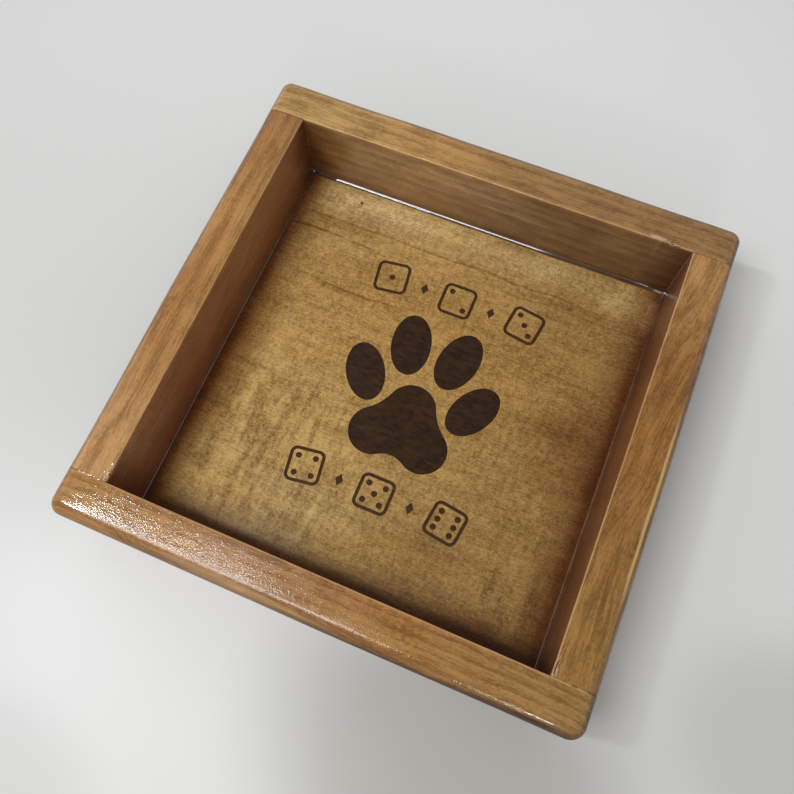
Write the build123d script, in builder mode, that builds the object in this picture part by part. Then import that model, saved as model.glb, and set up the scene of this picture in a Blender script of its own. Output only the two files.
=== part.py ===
from build123d import *
from math import atan2, degrees, hypot, sqrt
import os

os.makedirs("parts", exist_ok=True)

# A square wooden dice tray, in millimetres. The origin is under the middle of the
# tray, on the surface it stands on, with +Z up and -Y towards the front rail.

# Rails
tray_width = 216.0
tray_depth = 216.0
rail_width = 18.0
rail_height = 44.0

# Edges, rounded after the four rails are glued up
corner_radius = 5.5
top_outer_radius = 5.0
top_inner_radius = 0.8
bottom_outer_radius = 1.5

# Base panel, let into a rebate that is cut from below
panel_thickness = 4.0
rebate_height = 5.0
rebate_width = 6.0
rebate_corner_radius = 6.0
panel_clearance = 0.2

# Corner brads, with their heads set below the rail's face
brad_length = 30.0
brad_width = 1.2
brad_thickness = 1.0
brad_head_width = 2.0
brad_head_thickness = 0.9
brad_point_length = 2.0
brad_point_width = 0.3
brad_set_depth = 1.5
brad_edge_distance = 12.0

# Pins that hold the panel up against the rails
pin_length = 15.0
pin_width = 1.0
pin_thickness = 1.0
pin_head_width = 1.8
pin_head_thickness = 0.7
pin_point_length = 1.6
pin_point_width = 0.3
pin_end_distance = 33.0

# Engraving, centred a little to the right of the tray's own middle
engraving_depth = 0.4
engraving_shift = 2.3

# Toes of the paw print: ellipses that lean outwards
inner_toe_length = 29.6
inner_toe_width = 18.5
inner_toe_spread = 11.6
inner_toe_y = 21.6
inner_toe_lean = 12.3
outer_toe_length = 28.1
outer_toe_width = 17.8
outer_toe_spread = 26.0
outer_toe_y = 2.0
outer_toe_lean = 30.0

# Pad of the paw print: a crown, two lobes, hollow flanks and a hollow heel
pad_top_y = 4.2
crown_radius = 11.3
lobe_radius = 11.0
lobe_spread = 11.9
lobe_y = -22.5
flank_radius = 24.0
heel_radius = 11.2

# Two rows of engraved dice faces, with a small diamond between neighbours
die_size = 16.0
die_corner_radius = 3.2
die_line = 1.5
die_pitch = 33.0
die_lean = 8.0
spot_radius = 1.35
spot_pitch = 3.9
diamond_width = 3.6
diamond_height = 5.6
upper_row_y = 50.0
lower_row_y = -48.5

inner_width = tray_width - 2 * rail_width
inner_depth = tray_depth - 2 * rail_width
panel_bottom = rebate_height - panel_thickness
side_rail_x = (tray_width - rail_width) / 2
brad_heights = {"lower": brad_edge_distance, "upper": rail_height - brad_edge_distance}
joint_y = inner_depth / 2


# Frame as glued up, before the joint lines part it into four rails

with BuildPart() as frame:
    with BuildSketch(Plane.XY):
        RectangleRounded(tray_width, tray_depth, corner_radius)
        Rectangle(inner_width, inner_depth, mode=Mode.SUBTRACT)
    extrude(amount=rail_height)
    with BuildSketch(Plane.XY):
        RectangleRounded(
            inner_width + 2 * rebate_width, inner_depth + 2 * rebate_width, rebate_corner_radius
        )
    extrude(amount=rebate_height, mode=Mode.SUBTRACT)
    rim = frame.faces().sort_by(Axis.Z)[-1]
    fillet(rim.inner_wires()[0].edges(), radius=top_inner_radius)
    rim = frame.faces().sort_by(Axis.Z)[-1]
    fillet(rim.outer_wire().edges(), radius=top_outer_radius)
    underside = frame.faces().sort_by(Axis.Z)[0]
    fillet(underside.outer_wire().edges(), radius=bottom_outer_radius)


# Fasteners


def wire_nail(head_place, length, shank, head, head_thickness, point_length, point_width):
    """A flat-sided nail: its head's outer face lies on head_place, its point behind it."""
    with BuildPart() as nail:
        with BuildSketch(head_place):
            Rectangle(*head)
        extrude(amount=-head_thickness)
        with BuildSketch(head_place.offset(-head_thickness)):
            Rectangle(*shank)
        extrude(amount=head_thickness + point_length - length)
        with BuildSketch(head_place.offset(point_length - length)):
            Rectangle(*shank)
        with BuildSketch(head_place.offset(-length)):
            Rectangle(point_width, shank[1])
        loft()
    return nail.part


def corner_brad(place):
    """A brad through a full-length rail, its head set below the rail's face at place."""
    return wire_nail(
        place.offset(-brad_set_depth),
        brad_length,
        (brad_width, brad_thickness),
        (brad_head_width, brad_thickness),
        brad_head_thickness,
        brad_point_length,
        brad_point_width,
    )


def brad_plug(place):
    """Filler over a set brad, sanded to the frame's own surface."""
    with BuildPart() as plug:
        with BuildSketch(place.offset(-brad_set_depth)):
            Rectangle(brad_head_width, brad_thickness)
        extrude(amount=2 * brad_set_depth)
        add(frame.part, mode=Mode.INTERSECT)
    return plug.part


def panel_pin(place):
    """A pin through the panel's margin, its head flush with the panel's underside."""
    return wire_nail(
        place,
        pin_length,
        (pin_width, pin_thickness),
        (pin_head_width, pin_thickness),
        pin_head_thickness,
        pin_point_length,
        pin_point_width,
    )


rail_fasteners = {}
panel_pins = {}

for end, toward_end in (("front", -1), ("back", 1)):
    for side, toward_side in (("left", -1), ("right", 1)):
        for level, height in brad_heights.items():
            face = Plane(
                origin=(toward_side * side_rail_x, toward_end * tray_depth / 2, height),
                x_dir=(0, 0, 1),
                z_dir=(0, toward_end, 0),
            )
            corner = f"{end}_{side}_{level}"
            rail_fasteners[f"brad_{corner}"] = corner_brad(face)
            rail_fasteners[f"plug_{corner}"] = brad_plug(face)

pin_line_x = (inner_width + rebate_width) / 2
pin_line_y = (inner_depth + rebate_width) / 2
pin_reach_x = inner_width / 2 + rebate_width - pin_end_distance
pin_reach_y = inner_depth / 2 + rebate_width - pin_end_distance

for end, toward_end in (("front", -1), ("back", 1)):
    for spot, along in (("left", -1), ("middle", 0), ("right", 1)):
        face = Plane(
            origin=(along * pin_reach_x, toward_end * pin_line_y, panel_bottom),
            x_dir=(1, 0, 0),
            z_dir=(0, 0, -1),
        )
        panel_pins[f"pin_{end}_{spot}"] = panel_pin(face)

for side, toward_side in (("left", -1), ("right", 1)):
    for spot, along in (("front", -1), ("middle", 0), ("back", 1)):
        face = Plane(
            origin=(toward_side * pin_line_x, along * pin_reach_y, panel_bottom),
            x_dir=(0, 1, 0),
            z_dir=(0, 0, -1),
        )
        panel_pins[f"pin_{side}_{spot}"] = panel_pin(face)

fasteners = {**rail_fasteners, **panel_pins}


# Front and back rails, which run the full width


def end_rail(toward_end):
    """The frame beyond one butt joint line, with its nails' holes."""
    with BuildPart() as rail:
        add(frame.part)
        joint = Plane(origin=(0, toward_end * joint_y, 0), z_dir=(0, toward_end, 0))
        split(bisect_by=joint, keep=Keep.TOP)
        for piece in fasteners.values():
            if piece.bounding_box().center().Y * toward_end > 0:
                add(piece, mode=Mode.SUBTRACT)
    return rail.part


# Left and right rails, which butt between them


def side_rail(toward_side):
    """The frame between the joint lines on one side, with its nails' holes."""
    with BuildPart() as rail:
        add(frame.part)
        split(bisect_by=Plane(origin=(0, 0, 0), z_dir=(toward_side, 0, 0)), keep=Keep.TOP)
        for toward_end in (-1, 1):
            joint = Plane(origin=(0, toward_end * joint_y, 0), z_dir=(0, toward_end, 0))
            split(bisect_by=joint, keep=Keep.BOTTOM)
        for piece in fasteners.values():
            if piece.bounding_box().center().X * toward_side > 0:
                add(piece, mode=Mode.SUBTRACT)
    return rail.part


rails = {
    "front_rail": end_rail(-1),
    "back_rail": end_rail(1),
    "left_rail": side_rail(-1),
    "right_rail": side_rail(1),
}


# Base panel with its engraving


def toward(start, end, distance):
    """The point this far from start on the way to end."""
    share = distance / hypot(end[0] - start[0], end[1] - start[1])
    return (start[0] + share * (end[0] - start[0]), start[1] + share * (end[1] - start[1]))


def arc_between(centre, start, end, clockwise):
    """The arc about centre from start to end."""
    first = degrees(atan2(start[1] - centre[1], start[0] - centre[0]))
    last = degrees(atan2(end[1] - centre[1], end[0] - centre[0]))
    turn = (last - first) % 360
    if clockwise:
        turn -= 360
    CenterArc(centre, hypot(start[0] - centre[0], start[1] - centre[1]), first, turn)


def outer_tangent_centre(centre_a, radius_a, centre_b, radius_b, radius):
    """Centre of a circle that touches two others from outside, on their right."""
    to_a = radius_a + radius
    to_b = radius_b + radius
    apart = hypot(centre_b[0] - centre_a[0], centre_b[1] - centre_a[1])
    along = (to_a**2 - to_b**2 + apart**2) / (2 * apart)
    aside = sqrt(to_a**2 - along**2)
    step = ((centre_b[0] - centre_a[0]) / apart, (centre_b[1] - centre_a[1]) / apart)
    return (
        centre_a[0] + along * step[0] - aside * step[1],
        centre_a[1] + along * step[1] + aside * step[0],
    )


crown = (0.0, pad_top_y - crown_radius)
lobe = (lobe_spread, lobe_y)
flank = outer_tangent_centre(crown, crown_radius, lobe, lobe_radius, flank_radius)
heel = (0.0, lobe_y - sqrt((lobe_radius + heel_radius) ** 2 - lobe_spread**2))
crown_end = toward(crown, flank, crown_radius)
lobe_start = toward(lobe, flank, lobe_radius)
lobe_end = toward(lobe, heel, lobe_radius)

with BuildSketch() as pad:
    with BuildLine():
        arc_between(crown, (0.0, pad_top_y), crown_end, clockwise=True)
        arc_between(flank, crown_end, lobe_start, clockwise=False)
        arc_between(lobe, lobe_start, lobe_end, clockwise=True)
        arc_between(heel, lobe_end, (0.0, heel[1] + heel_radius), clockwise=False)
        mirror(about=Plane.YZ)
    make_face()

# Places of a die's spots, in steps from its middle, by the number that it shows
spot_places = {
    1: [(0, 0)],
    2: [(-1, 1), (1, -1)],
    3: [(-1, 1), (0, 0), (1, -1)],
    4: [(-1, -1), (-1, 1), (1, -1), (1, 1)],
    5: [(-1, -1), (-1, 1), (0, 0), (1, -1), (1, 1)],
    6: [(-1, -1), (-1, 0), (-1, 1), (1, -1), (1, 0), (1, 1)],
}
dice_rows = {upper_row_y: (1, 2, 3), lower_row_y: (4, 5, 6)}

with BuildPart() as base_panel:
    with BuildSketch(Plane.XY.offset(panel_bottom)):
        RectangleRounded(
            inner_width + 2 * (rebate_width - panel_clearance),
            inner_depth + 2 * (rebate_width - panel_clearance),
            rebate_corner_radius - panel_clearance,
        )
    extrude(amount=panel_thickness)
    for piece in panel_pins.values():
        add(piece, mode=Mode.SUBTRACT)
    with BuildSketch(Plane(origin=(engraving_shift, 0, rebate_height))):
        add(pad.sketch)
        for toward_side in (-1, 1):
            with Locations((toward_side * inner_toe_spread, inner_toe_y)):
                Ellipse(
                    inner_toe_width / 2,
                    inner_toe_length / 2,
                    rotation=-toward_side * inner_toe_lean,
                )
            with Locations((toward_side * outer_toe_spread, outer_toe_y)):
                Ellipse(
                    outer_toe_width / 2,
                    outer_toe_length / 2,
                    rotation=-toward_side * outer_toe_lean,
                )
        for row_y, numbers in dice_rows.items():
            for step, number in zip((-1, 0, 1), numbers):
                with Locations(Location((step * die_pitch, row_y, 0), -step * die_lean)):
                    RectangleRounded(die_size, die_size, die_corner_radius)
                    RectangleRounded(
                        die_size - 2 * die_line,
                        die_size - 2 * die_line,
                        die_corner_radius - die_line,
                        mode=Mode.SUBTRACT,
                    )
                    with Locations(*[(spot_pitch * x, spot_pitch * y) for x, y in spot_places[number]]):
                        Circle(spot_radius)
            with Locations((-die_pitch / 2, row_y), (die_pitch / 2, row_y)):
                Polygon(
                    (diamond_width / 2, 0),
                    (0, diamond_height / 2),
                    (-diamond_width / 2, 0),
                    (0, -diamond_height / 2),
                )
    extrude(amount=-engraving_depth, mode=Mode.SUBTRACT)


# Each piece in its own file

pieces = {**rails, "base_panel": base_panel.part, **fasteners}

for name, piece in pieces.items():
    piece.label = name
    export_step(piece, f"parts/{name}.step")
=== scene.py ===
from math import pi
from types import SimpleNamespace

import bmesh
import bpy
import numpy as np
from mathutils import Matrix, Vector, noise


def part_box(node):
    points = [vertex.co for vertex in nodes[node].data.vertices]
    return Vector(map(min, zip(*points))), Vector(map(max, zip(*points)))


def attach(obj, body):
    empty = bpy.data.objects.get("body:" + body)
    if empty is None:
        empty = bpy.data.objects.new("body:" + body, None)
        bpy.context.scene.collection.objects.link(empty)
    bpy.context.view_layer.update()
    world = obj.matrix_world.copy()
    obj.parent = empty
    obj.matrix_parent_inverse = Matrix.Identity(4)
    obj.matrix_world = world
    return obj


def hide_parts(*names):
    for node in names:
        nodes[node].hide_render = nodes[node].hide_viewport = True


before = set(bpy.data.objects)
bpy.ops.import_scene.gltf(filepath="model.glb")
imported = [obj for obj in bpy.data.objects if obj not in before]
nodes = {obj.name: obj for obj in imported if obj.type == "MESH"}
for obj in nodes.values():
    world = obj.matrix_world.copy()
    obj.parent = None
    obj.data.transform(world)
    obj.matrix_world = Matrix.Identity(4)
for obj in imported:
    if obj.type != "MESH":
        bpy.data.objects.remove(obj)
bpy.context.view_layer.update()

# Shapes below are counted in millimetres and scaled to metres when a mesh is made.
MM = 0.001


# The tray's sizes, read from the frame


def box_mm(node):
    low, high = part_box(node)
    return [value / MM for value in low], [value / MM for value in high]


_, front_high = box_mm("front_rail")
left_low, left_high = box_mm("left_rail")
_, panel_high = box_mm("base_panel")

HALF = front_high[0]
RAIL_HEIGHT = front_high[2]
RAIL_WIDTH = left_high[0] - left_low[0]
INNER = HALF - RAIL_WIDTH
PANEL_TOP = panel_high[2]
PANEL_EDGE = panel_high[0]

# The hand-sanded corners' radii in plan, left and right
FRONT_RADII = (5.3, 6.4)
BACK_RADII = (4.2, 4.8)

# How far the left and right faces ease in at the back, and the front and back ones at
# the right
SIDE_DRIFT = (0.5, 0.6)
END_DRIFT = (0.5, 0.6)

# The outer top edge's radius, its change along y and its sway, and its limit at a corner
# as a share of the corner's own radius
TOP_RADIUS = 4.9
TOP_RADIUS_SLOPE = -0.005
TOP_RADIUS_SWAY = 0.9
TOP_RADIUS_SHARE = 0.92

# That limit grows from this far short of a seam, over this length
LIMIT_FROM = 12
LIMIT_LENGTH = 20

# The other edges' radii, and the least and the sway of the inner one, as shares of it
BOTTOM_RADIUS = 1.5
EASE_RADIUS = 0.8
EASE_LEAST = 0.8
EASE_SWAY = 0.4

# How far the skin lies below the CAD's: crown towards the outside, and unevenness
CROWN = 0.5
UNEVEN_LONG = 0.14
UNEVEN_SHORT = 0.05
UNEVEN_SIDES = 0.5

# The size of each kind of unevenness along the rails, and its seed
SANDING_WAVES = (30, 3)
EASE_WAVES = (9, 8)
LONG_WAVES = (24, 11)
SHORT_WAVES = (7, 17)

# Butt seams at the rails' ends, as grooves
SEAM_DEPTH = 0.03
SEAM_REACH = 0.3

# Torn grain on an inner edge: (x, y, reach in x, reach in y, depth)
CHIPS = {
    "left_rail": (-90.9, -86.6, 1.7, 4.4, 0.16),
    "right_rail": (90.9, -86.2, 1.7, 4.8, 0.16),
    "back_rail": (81.5, 90.3, 4.2, 0.8, 0.16),
}

# As shares of a chip's reach: where its depth ends, how far it fades and its waves' size
CHIP_EDGE = 1.3
CHIP_FADE = 0.6
CHIP_WAVES = 0.45

PANEL_GAP = 0.2
REBATE_CORNER = 6
REBATE_STEPS = 12
CUTTER_BELOW = 2

# Mesh steps along, across and up a rail
STEP_ALONG = 3
STEP_ACROSS = 1.4
STEP_UP = 3

# Shorter steps by the seams and edges: (how far they reach, step)
BY_SEAM = (8, 0.4)
BY_INNER_SIDE = (3.2, 0.2)
BY_OUTER_SIDE = (8, 0.45)
BY_TOP = (7, 0.45)
BY_FOOT = (2, 0.4)
CHIP_BEYOND = 6

# Faces that meet at less than this angle, in radians, are shaded as one
SMOOTH_ANGLE = 0.6

# Stand-ins for a place out of reach, and for nothing where a division needs more
FAR = 1e3
TINY = 1e-6


# Mesh building


def add_object(name, points, faces):
    """A mesh object from points in millimetres. The faces of a closed one turn outwards."""
    mesh = bpy.data.meshes.new(name)
    mesh.from_pydata((np.asarray(points) * MM).tolist(), [], [tuple(face) for face in faces])
    work = bmesh.new()
    work.from_mesh(mesh)
    bmesh.ops.recalc_face_normals(work, faces=work.faces)
    work.to_mesh(mesh)
    work.free()
    made = bpy.data.objects.new(name, mesh)
    bpy.context.scene.collection.objects.link(made)
    soften(mesh)
    return made


def soften(mesh):
    """Shades a mesh smooth, apart from its sharp edges."""
    mesh.shade_smooth()
    mesh.set_sharp_from_angle(angle=SMOOTH_ANGLE)


def grid_lines(low, high, step, fine=()):
    """Positions from low to high, closer together in each (start, end, step) of fine."""
    lines = set(np.linspace(low, high, max(2, round((high - low) / step) + 1)).round(4))
    for start, end, small in fine:
        lines = {place for place in lines if not start < place < end}
        lines |= set(np.linspace(start, end, max(2, round((end - start) / small) + 1)).round(4))
    return np.array(sorted(lines))


def box_grid(xs, vs, zs):
    """Points and quads of a box's six sides, on shared grid lines."""
    shell = np.zeros((len(xs), len(vs), len(zs)), bool)
    shell[[0, -1]] = True
    shell[:, [0, -1]] = True
    shell[:, :, [0, -1]] = True
    ids = np.full(shell.shape, -1)
    ids[shell] = np.arange(shell.sum())
    ix, iv, iz = np.nonzero(shell)
    sides = (ids[0], ids[-1], ids[:, 0], ids[:, -1], ids[:, :, 0], ids[:, :, -1])
    quads = [
        np.stack([s[:-1, :-1], s[1:, :-1], s[1:, 1:], s[:-1, 1:]], axis=-1).reshape(-1, 4)
        for s in sides
    ]
    return xs[ix], vs[iv], zs[iz], np.concatenate(quads)


def joined_rings(rings, closed):
    """Points and faces of a body swept through equal rings, capped unless it closes."""
    size = len(rings[0])
    count = len(rings)
    points = [tuple(point) for ring in rings for point in ring]
    faces = []
    for i in range(count if closed else count - 1):
        for j in range(size):
            k = (j + 1) % size
            n = (i + 1) % count
            faces.append((i * size + j, i * size + k, n * size + k, n * size + j))
    if not closed:
        faces.append(tuple(range(size)))
        faces.append(tuple(range((count - 1) * size, count * size)))
    return points, faces


def onto_round(p, q, radius):
    """Moves a square corner onto a round one. p and q are depths from its two sides."""
    a = radius - p
    b = radius - q
    inside = (a > 0) & (b > 0)
    ring = np.where(inside, np.maximum(a, b), 1)
    turn = np.where(b >= a, pi / 2 - pi / 4 * a / ring, pi / 4 * b / ring)
    new_p = np.where(inside, radius - ring * np.cos(turn), p)
    new_q = np.where(inside, radius - ring * np.sin(turn), q)
    return new_p, new_q


def waves(x, y, z, size, seed):
    """Smooth noise from 0 to 1 at each point, with features of about that size."""
    spots = np.stack([x / size + seed, y / size, z / size], axis=1)
    return np.array([noise.noise(Vector(spot)) for spot in spots]) * 0.5 + 0.5


def smooth_step(value):
    held = np.clip(value, 0, 1)
    return held * held * (3 - 2 * held)


# Rails: rounded boxes with hand-sanded edges, parted by fine V-shaped seams


def corner_radius(x, y):
    """The plan radius of the tray's corner nearest to each point."""
    return np.where(y < 0, np.where(x < 0, *FRONT_RADII), np.where(x < 0, *BACK_RADII))


def drifted(x, y):
    """Outer faces eased inwards towards the tray's right and back, as it was sanded."""
    out_x = np.clip((np.abs(x) - INNER) / RAIL_WIDTH, 0, 1)
    out_y = np.clip((np.abs(y) - INNER) / RAIL_WIDTH, 0, 1)
    side = np.where(x < 0, *SIDE_DRIFT) * smooth_step(y / INNER)
    end = np.where(y < 0, *END_DRIFT) * smooth_step(x / INNER)
    return x - np.sign(x) * out_x * side, y - np.sign(y) * out_y * end


def chip_depth(x, y):
    """How deep the torn grain lies at each point."""
    depth = np.zeros(len(x))
    for chip_x, chip_y, reach_x, reach_y, deepest in CHIPS.values():
        across_x = (x - chip_x) / reach_x
        across_y = (y - chip_y) / reach_y
        reach = np.hypot(across_x, across_y)
        near = reach < CHIP_EDGE
        if near.any():
            flat = np.zeros(near.sum())
            torn = waves(across_x[near], across_y[near], flat, CHIP_WAVES, chip_x)
            fade = smooth_step((CHIP_EDGE - reach[near]) / CHIP_FADE)
            depth[near] += deepest * fade * np.clip(torn * 2.4 - 0.7, 0, 1)
    return depth


def unevenness(x, y, z):
    """How far the sanding went below the true face at each point."""
    long = UNEVEN_LONG * waves(x, y, z, *LONG_WAVES)
    return long + UNEVEN_SHORT * waves(x, y, z, *SHORT_WAVES)


def short_steps(low, high, by_low, by_high):
    """The stretches of short steps at both ends of a line from low to high."""
    return [(low, low + by_low[0], by_low[1]), (high - by_high[0], high, by_high[1])]


def rail_form(place, along_lines, has_corners):
    """A rail lying along x with v from its inner side out, set down by place."""
    v_short = short_steps(0, RAIL_WIDTH, BY_INNER_SIDE, BY_OUTER_SIDE)
    z_short = short_steps(0, RAIL_HEIGHT, BY_FOOT, BY_TOP)
    v_lines = grid_lines(0, RAIL_WIDTH, STEP_ACROSS, v_short)
    z_lines = grid_lines(0, RAIL_HEIGHT, STEP_UP, z_short)
    x, v, z, quads = box_grid(along_lines, v_lines, z_lines)
    world_x, world_y, up = place(x, v, z)
    reach = along_lines[-1]
    low = RAIL_HEIGHT - z

    # Depth below the nearest outer face, in plan
    corner = corner_radius(world_x, world_y)
    past_x = np.abs(x) - (reach - corner) if has_corners else np.full(len(x), -FAR)
    past_v = v - (RAIL_WIDTH - corner)
    depth = corner - np.maximum(past_x, past_v)

    # Outer edges, rounded over at the top and a little at the bottom
    sanding = waves(world_x, world_y, 0 * z, *SANDING_WAVES) - 0.5
    top_radius = TOP_RADIUS + TOP_RADIUS_SLOPE * world_y + TOP_RADIUS_SWAY * sanding
    past_seam = np.minimum(np.abs(world_x), np.abs(world_y)) - INNER
    near_corner = smooth_step((past_seam + LIMIT_FROM) / LIMIT_LENGTH)
    limited = np.minimum(top_radius, TOP_RADIUS_SHARE * corner)
    top_radius += near_corner * (limited - top_radius)
    inset, low = onto_round(depth, low, top_radius)
    inset, rise = onto_round(inset, RAIL_HEIGHT - low, np.full(len(x), BOTTOM_RADIUS))
    low = RAIL_HEIGHT - rise

    # Inner top edge, eased up to where the next rail butts on
    sanding = waves(world_x, world_y, 0 * z, *EASE_WAVES)
    ease = EASE_RADIUS * (EASE_LEAST + EASE_SWAY * sanding)
    if has_corners:
        ease *= np.clip((INNER + EASE_RADIUS - np.abs(x)) / EASE_RADIUS, 0, 1)
    eased_v, eased_low = onto_round(v, low, np.maximum(ease, TINY))
    eased = (v < ease) & (low < ease)
    v = np.where(eased, eased_v, v)
    low = np.where(eased, eased_low, low)

    # Seams, crown, unevenness and torn grain, all cut into the skin
    if has_corners:
        seam = np.where(np.abs(x) > INNER, v, FAR)
    else:
        seam = reach - np.abs(x)
    groove = SEAM_DEPTH * np.clip(1 - seam / SEAM_REACH, 0, 1)
    bow = np.clip(v / RAIL_WIDTH, 0, 1) ** 2
    if has_corners:
        bow += (np.clip(np.abs(x) - INNER, 0, None) / RAIL_WIDTH) ** 2
    uneven = unevenness(world_x, world_y, up)
    facing_up = np.clip(1 - low / top_radius, 0, 1)
    outer = depth < TINY
    on_top = z > RAIL_HEIGHT - TINY
    low += facing_up * np.where(outer | on_top, CROWN * bow + uneven + groove, 0)
    low += facing_up * np.where(on_top, chip_depth(world_x, world_y), 0)
    inset += (1 - facing_up) * np.where(outer, groove + UNEVEN_SIDES * uneven, 0)

    # Plan: straight faces, and corners on an arc
    cornered = (past_x > 0) & (past_v > 0)
    ring = np.maximum(np.maximum(past_x, past_v), TINY)
    turn = np.where(past_v >= past_x, pi / 2 - pi / 4 * past_x / ring, pi / 4 * past_v / ring)
    span = np.maximum(corner - inset, 0)
    shift = inset - depth
    new_x = np.where(cornered, reach - corner + span * np.cos(turn), np.abs(x))
    new_v = np.where(cornered, RAIL_WIDTH - corner + span * np.sin(turn), v)
    new_x = np.where(~cornered & (past_v < past_x), np.abs(x) - shift, new_x)
    new_v = np.where(~cornered & (past_v >= past_x), v - shift, new_v)
    new_z = np.clip(RAIL_HEIGHT - low, 0, RAIL_HEIGHT)
    x_out, y_out, z_out = place(np.sign(x) * new_x, new_v, new_z)
    x_out, y_out = drifted(x_out, y_out)
    return np.stack([x_out, y_out, z_out], axis=1), quads


def cut_rebate(rail):
    """Cuts the panel's rounded rebate out of a rail from below."""
    reach = PANEL_EDGE + PANEL_GAP
    middle = reach - REBATE_CORNER
    outline = []
    for quarter, (side_x, side_y) in enumerate(((1, 1), (-1, 1), (-1, -1), (1, -1))):
        for step in range(REBATE_STEPS + 1):
            turn = (quarter + step / REBATE_STEPS) * pi / 2
            x = side_x * middle + REBATE_CORNER * np.cos(turn)
            y = side_y * middle + REBATE_CORNER * np.sin(turn)
            outline.append((x, y))
    rings = [[(x, y, z) for x, y in outline] for z in (-CUTTER_BELOW, PANEL_TOP)]
    cutter = add_object("rebate_cutter", *joined_rings(rings, closed=False))
    cut = rail.modifiers.new("rebate", "BOOLEAN")
    cut.operation = "DIFFERENCE"
    cut.object = cutter
    cut.solver = "EXACT"
    graph = bpy.context.evaluated_depsgraph_get()
    mesh = bpy.data.meshes.new_from_object(rail.evaluated_get(graph))
    rail.modifiers.clear()
    rail.data = mesh
    soften(mesh)
    bpy.data.objects.remove(cutter)


SIDE_RAILS = ("left_rail", "right_rail")

# Where a rail that lies along x, with v outwards, is set down
RAIL_PLACES = {
    "front_rail": lambda x, v, z: (x, -INNER - v, z),
    "back_rail": lambda x, v, z: (x, INNER + v, z),
    "left_rail": lambda x, v, z: (-INNER - v, x, z),
    "right_rail": lambda x, v, z: (INNER + v, x, z),
}


def make_rail(node, place):
    """A rail's visual mesh, in place of its CAD node."""
    has_corners = node not in SIDE_RAILS
    reach = HALF if has_corners else INNER
    band, step = BY_SEAM
    short = [(-reach, -INNER + band, step), (INNER - band, reach, step)]
    if node == "back_rail":
        short.append((CHIPS[node][0] - CHIP_BEYOND, INNER - band, step))
    lines = grid_lines(-reach, reach, STEP_ALONG, short)
    points, quads = rail_form(place, lines, has_corners)
    rail = add_object("wood_" + node, points, quads)
    cut_rebate(rail)
    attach(rail, "root")
    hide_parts(node)
    return rail


rails = {node: make_rail(node, place) for node, place in RAIL_PLACES.items()}


# Wood filler over the sunk nail heads, sanded flush with the front and back rails

PLUG_POINTS = 28

# Rings of a plug's domed face: (share of its size, height above the rail's skin)
PLUG_DOME = ((1.0, 0.0), (0.85, 0.024), (0.5, 0.04))


def outer_face(x, y, z):
    """Points on the front or back rail's outer face, moved onto its sanded skin."""
    return drifted(x, y - np.sign(y) * UNEVEN_SIDES * unevenness(x, y, z))


def make_plug(node):
    """A short oblong plug in place of its CAD node, with a slightly domed face."""
    low, high = box_mm(node)
    mid_x = (low[0] + high[0]) / 2
    mid_z = (low[2] + high[2]) / 2
    side = np.sign(low[1])
    depth = high[1] - low[1]
    turn = np.arange(PLUG_POINTS) / PLUG_POINTS * 2 * pi
    rings = []
    for share, raised in ((1.0, -depth), *PLUG_DOME):
        x = mid_x + share * (high[0] - low[0]) / 2 * np.cos(turn)
        z = mid_z + share * (high[2] - low[2]) / 2 * np.sin(turn)
        x, y = outer_face(x, np.full(PLUG_POINTS, side * HALF), z)
        rings.append(list(zip(x, y + side * raised, z)))
    plug = add_object("filler_" + node, *joined_rings(rings, closed=False))
    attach(plug, "root")
    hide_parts(node)
    return plug


plugs = [make_plug(node) for node in nodes if node.startswith("plug_")]


# Varnish that pooled where the walls meet the floor and each other

# Width and height of the bead along the front, right, back and left wall
BEADS = ((0.7, 0.7), (0.6, 0.7), (1.7, 0.9), (0.6, 0.7))
BEAD_SWELL = 0.3
BEAD_OVERLAP = 0.25

# The bead's radius in plan at each corner, by the walls and along its inner side
BEAD_CORNERS = (0.3, 1.6)

# Above 1, the bead's hollow face is flatter than a quarter circle
BEAD_FLATNESS = 1.5

# Mesh steps along each wall, round each corner and across the bead
WALL_STEPS = 90
TURN_STEPS = 10
BEAD_STEPS = 8

# The upright fillets: their distance from the floor and the rim, their least reach and
# its swell, how far they overlap the walls, and their mesh steps
CORNER_ENDS = (0.4, 1.4)
CORNER_REACH = 0.15
CORNER_SWELL = 0.25
CORNER_OVERLAP = 0.15
CORNER_STEPS = 30
CORNER_TURN_STEPS = 5


def bead_profile(width, height):
    """The bead's outline: (share of the way in, distance from the wall, height)."""
    profile = [(0.0, -BEAD_OVERLAP, PANEL_TOP + height)]
    for step in range(BEAD_STEPS + 1):
        share = step / BEAD_STEPS
        bend = share * pi / 2
        inward = width * (1 - max(0, np.cos(bend)) ** BEAD_FLATNESS)
        rise = height * (1 - np.sin(bend) ** BEAD_FLATNESS)
        profile.append((share, inward, PANEL_TOP + rise))
    profile.append((1.0, width, PANEL_TOP - BEAD_OVERLAP))
    profile.append((0.0, -BEAD_OVERLAP, PANEL_TOP - BEAD_OVERLAP))
    return profile


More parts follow.
